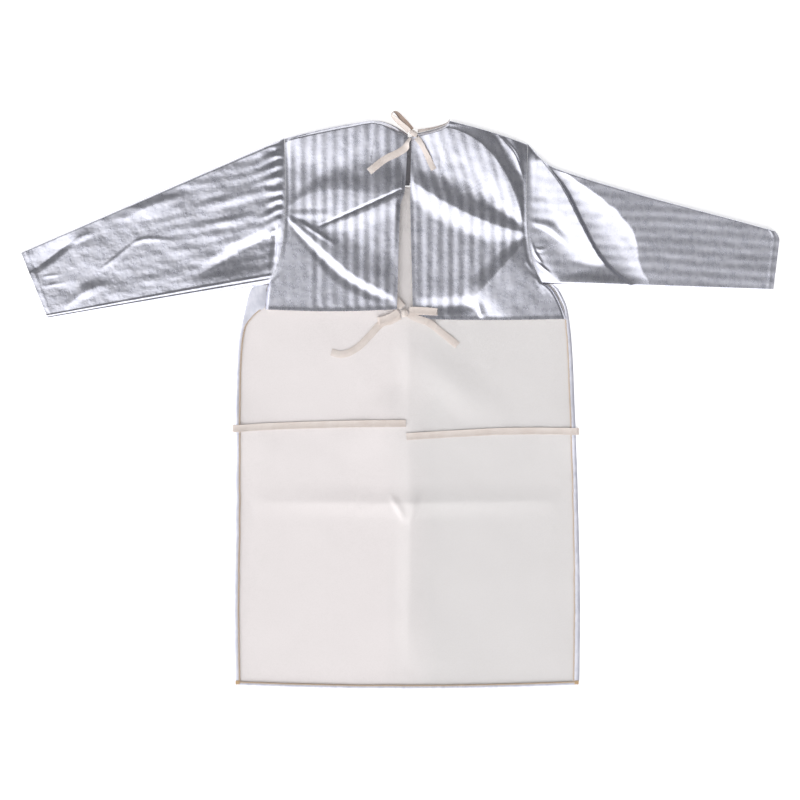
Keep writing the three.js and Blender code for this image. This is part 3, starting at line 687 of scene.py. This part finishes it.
# The sleeves
sleeve_folds = {
    "left": [
        ([(-690, 358, -0.5, 10, 14), (-738, 320, -6.4, 14, 34), (-780, 288, -4.6, 14, 34)], 0.5),
        ([(-770, 268, 0.2, 5, 5), (-756, 270, 0.9, 5, 5), (-728, 274, 0.3, 5, 5)], 0.3),
        ([(-764, 249, 0.3, 6, 6), (-748, 252, 1.1, 6, 6), (-722, 256, 0.3, 6, 6)], 0.3),
        ([(-716, 208, 1.0, 10, 14), (-680, 236, 3.2, 20, 18), (-634, 256, 0.6, 18, 14)], 0.4),
        ([(-588, 332, 0.5, 3, 8), (-563, 347, 1.6, 4, 12), (-530, 350, 1.8, 4, 12),
          (-492, 346, 0.3, 4, 10)], 0.4),
        ([(-588, 330, 0.8, 8, 5), (-618, 306, 1.8, 14, 5), (-650, 282, 0.2, 10, 5)], 0.4),
        ([(-440, 272, -1.0, 20, 20), (-400, 294, -5.5, 22, 46), (-345, 326, -9.0, 26, 70),
          (-300, 350, -7.0, 18, 64)], 0.3),
        ([(-274, 372, -1.5, 3, 10), (-275, 320, -4.5, 3, 16), (-280, 268, -2.5, 3, 12)], 0.3),
        ([(-600, 392, 0.6, 18, 14), (-540, 418, 3.2, 24, 30), (-480, 440, 0.8, 18, 16)], 0.2),
        ([(-720, 340, 0.5, 10, 10), (-690, 352, 2.6, 20, 14), (-660, 364, 0.4, 14, 10)], 0.2),
        ([(-300, 408, 0.6, 8, 10), (-360, 392, 1.6, 16, 12), (-450, 372, 0.2, 14, 12)], 0.3),
        ([(-300, 455, 1.0, 8, 12), (-370, 432, 1.8, 18, 22), (-470, 400, 0.2, 16, 14)], 0.2),
    ],
    "right": [
        ([(286, 516, 9.0, 2.5, 50), (326, 466, 13.5, 2.8, 88), (368, 387, 13.0, 2.8, 86),
          (403, 322, 7.0, 3, 50), (420, 296, 0.4, 4, 14)], 0.5),
        ([(304, 500, -1.5, 10, 3), (335, 462, -4.0, 24, 3), (374, 386, -10.0, 68, 3),
          (409, 320, -11.0, 82, 3.5), (446, 278, -8.5, 66, 5), (486, 250, -2.0, 28, 6)], -1),
        ([(330, 256, 1.0, 16, 6), (410, 254, 3.4, 34, 8), (500, 250, 0.6, 20, 6)], 0.2),
        ([(264, 344, 0.8, 5, 5), (272, 320, 3.2, 6, 6), (287, 298, 0.6, 5, 5)], 0.4),
        ([(274, 302, 0.6, 4, 5), (290, 288, 2.8, 5, 6), (304, 277, 0.4, 4, 4)], 0.4),
        ([(268, 330, 0.4, 4, 4), (284, 326, 2.0, 5, 5), (298, 330, 0.2, 4, 4)], 0.4),
        ([(262, 385, 0.6, 8, 6), (300, 372, 2.4, 18, 10), (340, 340, 0.4, 12, 10)], 0.3),
    ],
}


pucker_height = 2.6
pucker_pitch = 24


def level_top(share, edge):
    """A cross-section with a level top and rounded edges."""
    return np.sqrt(1 - (1 - np.clip(np.minimum(share, 1 - share) / edge, 0, 1)) ** 2)


def sleeve_shape(name):
    side = sides[name]
    angle, slant = math.radians(side["sleeve_angle"]), math.radians(side["cuff_slant"])
    shoulder = top - side["shoulder_fall"]
    start_top = np.array([armhole_out(0.0), shoulder])
    start_bottom = np.array([armhole_out(1.0), underarm])
    reach = sleeve_length - side["take_up"]
    cuff_top = start_top + reach * np.array([math.cos(angle), -math.sin(angle)])
    cuff_bottom = cuff_top - side["cuff_width"] * np.array([math.sin(slant), math.cos(slant)])
    lean = math.radians(10 if name == "left" else 4)

    def plan(along, share):
        s = along * (1 - side["cuff_corner"] * np.maximum(0, 1 - share / 0.15) ** 2 / reach)
        fall = side["cap_drop"] * from_rows(cap_rows, "along", s, "fall")
        upper = [mix(start_top[0], cuff_top[0], s), mix(start_top[1], cuff_top[1], s) - fall]
        lower = [mix(start_bottom[k], cuff_bottom[k], s) for k in (0, 1)]
        seam = [armhole_out(share), mix(shoulder, underarm, share)]
        pull = (1 - s) ** 3
        x, y = [
            mix(upper[k], lower[k], share) + (seam[k] - mix(start_top[k], start_bottom[k], share)) * pull
            for k in (0, 1)
        ]
        return x + 3 * seam_gap, y

    def shape(u, w):
        t = np.where(w < 0.5, 2 * w, 2 - 2 * w)
        share = mix((1 - np.cos(np.pi * t)) / 2, t, 0.25)
        along = mix(u, u ** 1.25, 0.5)
        out, y = plan(along, share)
        x = side["sign"] * out
        loft = mix(arm_loft, min(side["cuff_loft"], cuff_loft_limit), ease(along))
        bow = mix(arch(share), level_top(share, 0.02), ease(12 * along))
        free = ease(bow * 1.3) * ease(30 * along)
        down = y * math.cos(lean) + out * math.sin(lean)
        ribs = np.cos(2 * np.pi * down / stripe + 0.8 * lattice(x, y, 60, 3))
        lift = sum(fold(x, y, stations, sharp) for stations, sharp in sleeve_folds[name])
        if name == "left":
            down_seam = share * (shoulder - underarm)
            puckers = pucker_height * np.sin(2 * np.pi * down_seam / pucker_pitch
                                             + 1.5 * lattice(x, y, 30, 2))
            puckers = puckers * np.exp(-(along * 17) ** 1.6) * ease(along * 60) * ease((0.62 - share) / 0.15)
            ribs = ribs * 0.2 * (0.3 + 0.7 * ease((x + 640) / 200))
            ribs = ribs + puckers
            lift = lift + 9 * (0.5 - share) + 0.6 * lattice(x, 2.0 * y, 60, 6)
            lift = lift + 0.3 * lattice(x, 1.6 * y, 22, 9) + 0.45 * crumple(x, 1.7 * y, 70, 1)
            seam = 1.4 * bell((share - 0.94) / 0.016) + 1.2 * bell((share - 0.97) / 0.012)
            seam = seam + 0.35 * bell((along - 0.982) / 0.008)
        else:
            ribs = ribs * 0.10
            lift = lift + 0.25 * lattice(x, 2 * y, 80, 6) + 0.08 * lattice(x, 2 * y, 18, 5)
            seam = 0.5 * bell((along - 0.978) / 0.008)
        roof = mix(fold_height, loft, bow) + lift * free + (ribs + seam) * ease(bow * 2) * ease(along * 40)
        floor = fold_height * (1 - arch(share) ** 0.5) ** 2
        return x, y, np.where(w <= 0.5, np.maximum(roof, floor + 2 * cloth * bow), floor)

    return shape


front_panel = cloth_piece("front_panel_cloth", 146, 238, front_panel_shape, [canvas_inside, silver_back])
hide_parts("front_panel")

cloth_pieces = [front_panel]
for name, film in (("left", silver_left), ("right", silver_right)):
    back = cloth_piece(f"back_panel_cloth_{name}", 140, 190, back_panel_shape(name),
                       [silver_back, canvas_inside])
    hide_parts(f"back_panel_{name}")
    sleeve = cloth_piece(f"sleeve_cloth_{name}", 230, 190, sleeve_shape(name), [film, canvas_inside],
                         around=True)
    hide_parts(f"sleeve_{name}")
    cloth_pieces += [back, sleeve]


# The turned-in facing of the left back panel, seen in the gap of the slit below the neck; its film is painted
# dark, as painted shade in the gap
facing_top = top - 36
facing_end = 462


def facing_shape(u, v):
    down = mix(0.05, 0.34, v)
    left, right = [
        slit_width * from_rows(slit_rows, "down", down, name) * sides[name]["sign"] for name in sides
    ]
    x = mix(left - 5, right + 7, u)
    z = mix(11, 3.5, ease(u / 0.8)) - 4 * v + 0.4 * lattice(x, mix(560, facing_end, v), 14, 3)
    return x, mix(facing_top, facing_end, v), z


facing = cloth_piece("slit_facing", 16, 60, facing_shape, [silver_facing_painted_shade], thickness=thin_cloth)


# The turned-up hems, rolled over the edge, with a tan overlock along their inner edge
def side_hem_shape(name):
    side = sides[name]
    first = turn_rows[0]["down"]
    last = (underarm - hem_line(hem_width / 2) - hem_turn) / (underarm - bottom)

    def shape(u, v):
        down = mix(first, last, u ** 1.5)
        y = mix(underarm, bottom, down)
        outer = half_width(name, y)
        inner = outer - hem_turn * from_rows(turn_rows, "down", down, name)
        wave = 0.35 * lattice(y, v * 3, 34, 5) + 0.25 * lattice(y, v * 3, 13, 8)
        over = np.clip((v - 0.25) / 0.75, 0, 1)
        out = mix(outer + 0.6, inner, over) + wave * (v > 0.2)
        base = panel_z(side["sign"] * out, y)
        swell = 0.9 * np.abs(np.sin(np.pi * over)) ** 0.7 * (1 - 0.4 * over)
        z = base + cloth + 2 * seam_gap + swell + 0.25 * wave
        z = mix(1.0, z, ease(v / 0.25) ** 0.6)
        out = out + 0.9 * np.sin(np.pi * np.clip(v / 0.25, 0, 1))
        return side["sign"] * out, y, z

    return shape


def bottom_hem_shape(u, v):
    x = mix(-half_width("left", bottom), half_width("right", bottom), u)
    wave = 0.3 * lattice(x, v * 3, 34, 4) + 0.2 * lattice(x, v * 3, 12, 6)
    over = np.clip((v - 0.25) / 0.75, 0, 1)
    y = hem_line(x) - 0.6 + (hem_turn - seam_gap) * over + wave * (v > 0.2)
    z = 2 * cloth + 2 * seam_gap + 0.8 * np.abs(np.sin(np.pi * over)) ** 0.7 * (1 - 0.4 * over) + 0.2 * wave
    z = mix(1.0, z, ease(v / 0.25) ** 0.6)
    return x, y - 0.9 * np.sin(np.pi * np.clip(v / 0.25, 0, 1)), z


def along_cloth(shape, v, count, lift=0.0):
    """Points on a piece of cloth at a share across it."""
    points = np.stack(shape(np.linspace(0, 1, count), np.full(count, v)), axis=1)
    points[:, 2] += lift
    return points


def even_steps(points, step):
    length = np.concatenate([[0], np.cumsum(np.linalg.norm(np.diff(points, axis=0), axis=1))])
    at = np.arange(step / 2, length[-1], step)
    return np.stack([np.interp(at, length, column) for column in points.T], axis=1)


def stitches(name, lines, material, pitch=3.4, length=2.7, width=0.75, slant=0.0):
    """Short stitches along lines of points."""
    bm = bmesh.new()
    for points in lines:
        places = even_steps(points, pitch)
        for before, after in zip(places, places[1:]):
            along = Vector(after - before).normalized()
            along = Matrix.Rotation(slant, 3, "Z") @ along
            turn = along.to_track_quat("X", "Z").to_matrix().to_4x4()
            size = Matrix.Diagonal((length / 2 * MM, width / 2 * MM, width / 2.4 * MM, 1))
            middle = Matrix.Translation(Vector((before + after) / 2 * MM))
            bmesh.ops.create_icosphere(bm, subdivisions=1, radius=1.0, matrix=middle @ turn @ size)
            slant = -slant
    piece = new_piece(name, bm, [material])
    return piece


overlock_share = 0.95
overlock_lift = 0.7
hem_pieces = []
overlock_lines = []
for name in ("left", "right"):
    shape = side_hem_shape(name)
    hem = cloth_piece(f"side_hem_cloth_{name}", 300, 12, shape, [silver_hem_painted_light], thickness=thin_cloth)
    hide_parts(f"side_hem_{name}")
    hem_pieces.append(hem)
    line = along_cloth(shape, overlock_share, 500, overlock_lift)
    overlock_lines.append(line[line[:, 1] < back_hem + sides[name]["tuck"]])
hem = cloth_piece("bottom_hem_cloth", 300, 12, bottom_hem_shape, [silver_hem_painted_light], thickness=thin_cloth)
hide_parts("bottom_hem")
hem_pieces.append(hem)
overlock_lines.append(along_cloth(bottom_hem_shape, overlock_share, 400, overlock_lift))
trims = [stitches("hem_overlock", overlock_lines, tan_thread, pitch=1.7, length=5.6, width=1.2,
                  slant=math.radians(62))]
tack_y = -589
tack_z = 4.2
tack_half = 5
tack_step = 1.5
for name, x in (("left", -356), ("right", 361)):
    rows = []
    for row in range(-2, 3):
        y = tack_y + tack_step * row
        rows.append(np.array([(x - tack_half, y, tack_z), (x + tack_half, y, tack_z)], float))
    trims.append(stitches(f"bar_tack_{name}", rows, tan_thread, pitch=1.1, length=3.4, width=1.3,
                          slant=math.radians(84)))

# The tapes
ground = []
for piece in cloth_pieces + hem_pieces:
    corners = [v.co.copy() for v in piece.data.vertices]
    polygons = [tuple(p.vertices) for p in piece.data.polygons]
    ground.append(BVHTree.FromPolygons(corners, polygons))


def top_at(x, y):
    """The top of what lies at a point of the ground, in millimetres."""
    start, down = Vector((x * MM, y * MM, 1.0)), Vector((0, 0, -1))
    hits = [tree.ray_cast(start, down)[0] for tree in ground]
    return max([hit.z / MM for hit in hits if hit] + [0.0])


def laid_on(route, lift=seam_gap, width=tape_width):
    """The stations of a tape laid on what is there already, smoothed along it."""
    length = np.sum(np.linalg.norm(np.diff([p[:2] for p in route], axis=0), axis=1))
    stations = smooth_route([(p[0], p[1], 0, *(p[3:] or (0,))) for p in route], max(12, int(length / 4)))
    heights = []
    for k, (x, y) in enumerate(stations[:, :2]):
        dx, dy = stations[min(k + 1, len(stations) - 1), :2] - stations[max(k - 1, 0), :2]
        run = math.hypot(dx, dy)
        roll = math.cos(math.radians(stations[k, 3]))
        heights.append(max(
            top_at(x - a * roll * width * dy / run, y + a * roll * width * dx / run)
            for a in (-0.5, -0.25, 0, 0.25, 0.5)
        ))
    heights = np.array(heights)
    high = np.array([heights[max(0, k - 2):k + 3].max() for k in range(len(heights))])
    smooth = np.convolve(np.pad(high, 2, mode="edge"), np.ones(5) / 5, mode="valid")
    stand = np.abs(np.sin(np.radians(stations[:, 3]))) * width / 2
    stations[:, 2] = np.maximum(smooth, heights) + lift + tape_thickness / 2 + stand
    return stations


def tape_frames(stations):
    """The direction across a tape and the one out of its face at each station."""
    along = np.gradient(stations[:, :3], axis=0)
    along /= np.linalg.norm(along, axis=1)[:, None]
    across = None
    sides_out, ups = [], []
    for direction, roll in zip(along, np.radians(stations[:, 3])):
        level = np.array([-direction[1], direction[0], 0.0])
        size = np.linalg.norm(level)
        if across is not None and size < 0.3:
            side = across - direction * across.dot(direction)
        else:
            side = level / max(size, 1e-6)
            if across is not None and side.dot(across) < 0:
                side = -side
        side = side / np.linalg.norm(side)
        across = side
        turned = side * math.cos(roll) + np.cross(direction, side) * math.sin(roll)
        sides_out.append(turned)
        ups.append(np.cross(direction, turned))
    return np.array(sides_out), np.array(ups)


def ribbon(name, stations, width=tape_width, node=None, cup=0.6, faces=None):
    """A tape along stations x, y, z and roll, slightly cupped across."""
    stations = np.asarray(stations, float)
    length = np.concatenate([[0], np.cumsum(np.linalg.norm(np.diff(stations[:, :3], axis=0), axis=1))])
    frames = tape_frames(stations)

    def shape(u, v):
        at = u * length[-1]
        middle, side, up = [
            np.stack([np.interp(at, length, rows[:, k]) for k in range(3)], axis=1)
            for rows in (stations, *frames)
        ]
        bend = cup * (np.cos(np.pi * (v - 0.5)) - 0.5) + 0.25 * lattice(at, v * 4, 9, len(name))
        across = (0.5 - v) * width * (1 + 0.02 * lattice(at, v * 0, 5, 3))
        place = middle + side * across[:, None] + up * bend[:, None]
        return place[:, 0], place[:, 1], place[:, 2]

    columns = max(12, int(length[-1] / 1.6))
    piece = cloth_piece(name, columns, 10, shape, faces or [tape_cloth],
                        thickness=0.8 * tape_thickness, offset=0.0, up=False)
    edge = piece.modifiers.new("soft_edge", "BEVEL")
    edge.width = 0.3 * MM
    edge.segments = 2
    edge.limit_method = "ANGLE"
    if node:
        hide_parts(node)
    return piece


def turn_over(start, outward, radius):
    angles = np.pi * np.arange(1, 12) / 12
    return [
        (start[0] + outward[0] * radius * math.sin(a), start[1] + outward[1] * radius * math.sin(a),
         start[2] + radius * (1 - math.cos(a)), 0)
        for a in angles
    ]


def free_tape(stations):
    path = [tuple(float(c) * MM for c in p) for p in smooth_route(np.asarray(stations)[:, :3], 30)]


def from_height(height, route):
    return [(x, height + y, *rest) for x, y, *rest in route]


# Waist ties: sewn under the edge, turned over it and laid across the inside
for name, route in (
    ("left", [(-359, 0), (-300, 4), (-223, 7), (-110, 10), (0, 11)]),
    ("right", [(361, -6), (290, -5), (200, -6), (100, -11), (1, -17)]),
):
    sign = sides[name]["sign"]
    edge = sign * half_width(name, tie_height)
    laid = laid_on(from_height(tie_height, [(edge, route[0][1]), *route[1:]]), 2 * seam_gap)
    y, low = laid[0, 1], tape_thickness / 2
    radius = (laid[0, 2] - low) / 2
    corner = edge + sign * (turn_reach - radius)
    under = [(edge - sign * tie_sewn, y, low, 0), (edge - sign * tie_sewn / 2, y, low, 0), (edge, y, low, 0)]
    round_edge = turn_over((corner, y, low), (sign, 0), radius)
    turned = [(corner, y, low, 0), *round_edge, (corner, y, laid[0, 2], 0)]
    stations = np.array([*under, *turned, *laid.tolist()])
    tie = ribbon(f"waist_tie_tape_{name}", stations, node=f"waist_tie_{name}")
    free_tape(stations)

# The bow at the back hem
back_bow = dict(x=-3, y=back_hem + 12, z=10, width=13, depth=17, height=8)
back_routes = {
    "tail_left": [
        (-14, 6), (-32, -4), (-48, -8), (-77, -36), (-103, -61), (-126, -73), (-141, -75), (-158, -70),
    ],
    "tail_right": [(6, 10), (20, 2), (48, -8), (73, -27), (92, -42), (109, -56)],
    "loop_left": [(-12, 6), (-31, -1), (-56, -4)],
    "loop_right": [(7, 15), (32, 16), (64, 15)],
    "stub": [(-22, 42, 7.6, 0), (-13, 31, 8, 0), (-7, 24.5, 8.6, 0)],
}


def flat_loop(route, splay, lift):
    under = laid_on(route, lift)
    start, end = under[0], under[-1]
    outward = (end[:2] - start[:2]) / np.linalg.norm(end[:2] - start[:2])
    turned = math.radians(splay)
    back = []
    for station in under[::-1]:
        dx, dy = station[:2] - end[:2]
        back.append((end[0] + dx * math.cos(turned) - dy * math.sin(turned),
                     end[1] + dx * math.sin(turned) + dy * math.cos(turned), station[2] + 2 * loop_turn, 0))
    return np.array([*under.tolist(), *turn_over(end, outward, loop_turn), *back])


for key, length in (("tail_left", 0.176), ("tail_right", 0.126)):
    stations = laid_on(from_height(back_hem, back_routes[key]))
    tail = ribbon(f"back_{key}_tape", stations, node=f"back_{key}")
    free_tape(stations)
for key, splay in (("loop_left", 12), ("loop_right", -3)):
    loop = flat_loop(from_height(back_hem, back_routes[key]), splay, 2 * seam_gap)
    ribbon(f"back_{key}_tape", loop, node=f"back_{key}")
ribbon("back_stub_tape", smooth_route(from_height(back_hem, back_routes["stub"]), 12), node="back_tape")


def wrapped_knot(name, node, x, y, z, width, depth, height, turn=0.0):
    """A tape wrapped once round the others: a bulging closed band."""
    def shape(u, v):
        angle = 2 * np.pi * v
        swell = 1 - 0.28 * (2 * u - 1) ** 2
        pinch = 0.35 * np.cos(3 * np.pi * (u - 0.5)) * np.abs(np.sin(angle)) ** 3
        a = (2 * u - 1) * width / 2
        b = np.sign(np.cos(angle)) * np.abs(np.cos(angle)) ** 0.7 * depth / 2 * swell
        c = np.sign(np.sin(angle)) * np.abs(np.sin(angle)) ** 0.7 * (height / 2 * swell + pinch)
        return x + a * math.cos(turn) - b * math.sin(turn), y + a * math.sin(turn) + b * math.cos(turn), z + c

    knot = cloth_piece(name, 24, 48, shape, [tape_cloth], around=True, thickness=1.2)
    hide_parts(node)


wrapped_knot("back_knot_tape", "back_knot", turn=math.radians(8), **back_bow)

# The bow at the neck
neck_bow = dict(x=16, y=top - 28, z=16.9, width=17, depth=12, height=9)
neck_routes = {
    "tail_left": [
        (9, -38, 0, 70), (3, -47, 0, 60), (0, -57, 0, 20), (-13, -67, 0, 0), (-43, -82, 0, 0),
        (-78, -109, 0, 0),
    ],
    "tail_right": [
        (22, -37, 0, 0), (30, -47, 0, 20), (39, -64, 0, 35), (46, -78, 0, 20), (53, -93, 0, 0),
        (59, -105, 0, 0),
    ],
    "loop": [
        (12, -21, 19.5, -20), (3.5, -10, 21, -30), (-6.5, 0.5, 22, -35), (-14.5, 9.5, 22, -45),
        (-21, 15.5, 21, -62), (-27.5, 16.5, 20, -90), (-30, 11.5, 19.5, -112), (-25.5, 5, 19, -132),
        (-18, -1.5, 19, -146), (-9.5, -9, 19, -154), (0, -17, 19, -158), (7, -24, 19, -160),
    ],
}
for key, length, width in (("tail_left", 0.115, tape_width), ("tail_right", 0.078, turned_tape)):
    stations = laid_on(from_height(top, neck_routes[key]), width=width)
    tail = ribbon(f"neck_{key}_tape", stations, width=width, node=f"neck_{key}")
    free_tape(stations)
neck_loop = smooth_route(from_height(top, neck_routes["loop"]), 60)
# The loop's inner face takes the dark copy of the tape cotton: painted shade
ribbon("neck_loop_tape", neck_loop, width=turned_tape, node="neck_loop", cup=0.3,
       faces=[tape_cloth, tape_shade])
wrapped_knot("neck_knot_tape", "neck_knot", turn=math.radians(-32), **neck_bow)


def neck_tape_shape(u, v):
    side = sides["right"]
    inset = neck_bow["x"] + neck_bow["width"] / 2 + seam_gap
    out = mix(neck_out(side), inset, u)
    rise = binding_width * mix(0.35, 1, u) * v
    edge = neck_line(side, out) + 3 * seam_gap
    return out, edge + rise, collar_z(side, out) + 0.5 * np.sin(np.pi * v)


neck_tape = cloth_piece("neck_edge_tape", 60, 8, neck_tape_shape, [tape_cloth], thickness=1.2)
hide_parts("neck_tape")

# Seam stitching on the silver: beside the slit, along the back hem and round the cuffs
seam_lines = []
for name in ("left", "right"):
    shape, sleeve_at = back_panel_shape(name), sleeve_shape(name)
    down = np.linspace(0.03, 0.985, 300)
    across = np.linspace(0.02, 0.98, 240)
    around = np.linspace(0.06, 0.44, 160)
    seam_lines.append(np.stack(shape(np.full(300, 0.968), down), axis=1))
    seam_lines.append(np.stack(shape(across, np.full(240, 0.984)), axis=1))
    seam_lines.append(np.stack(sleeve_at(np.full(160, 0.972), around), axis=1))
stitches("seam_stitching", seam_lines, grey_thread, pitch=3.6, length=2.6, width=0.6)

# The floor and the light
floor_reach = 8
floor_mesh = bpy.data.meshes.new("floor")
bm = bmesh.new()
bmesh.ops.create_grid(bm, x_segments=1, y_segments=1, size=floor_reach)
bm.to_mesh(floor_mesh)
bm.free()
floor = bpy.data.objects.new("floor", floor_mesh)
bpy.context.collection.objects.link(floor)
floor.data.materials.append(Finish("pale_floor", Base_Color=(0.97, 0.97, 0.97), Roughness=0.9,
                                   Emission_Color=(1, 1, 1), Emission_Strength=0.5).material)

# One large soft light: brighter towards the hem and the left, darker towards the neck
world = bpy.data.worlds.new("studio")
bpy.context.scene.world = world
world.use_nodes = True
room = Nodes(world.node_tree)
towards = room.node("TexCoord", output="Generated")
lean = room.node("VectorMath", {"operation": "DOT_PRODUCT"}, "Value", at0=towards, at1=(-0.45, -0.89, 0))
light_rows = [(-1.0, 0.36), (-0.45, 0.20), (-0.22, 0.21), (-0.07, 0.34), (0.0, 0.45),
              (0.06, 0.69), (0.12, 1.16), (0.22, 1.6), (0.5, 2.2), (1.0, 2.4)]
strength = 2.4
stops = [
    (0.5 + at / 2, (value / strength, value / strength, 1.02 * value / strength))
    for at, value in light_rows
]
shade = room.ramp(lean * 0.5 + 0.5, *stops)
background = world.node_tree.nodes["Background"]
room.fill(background.inputs[0], shade)
background.inputs[1].default_value = strength
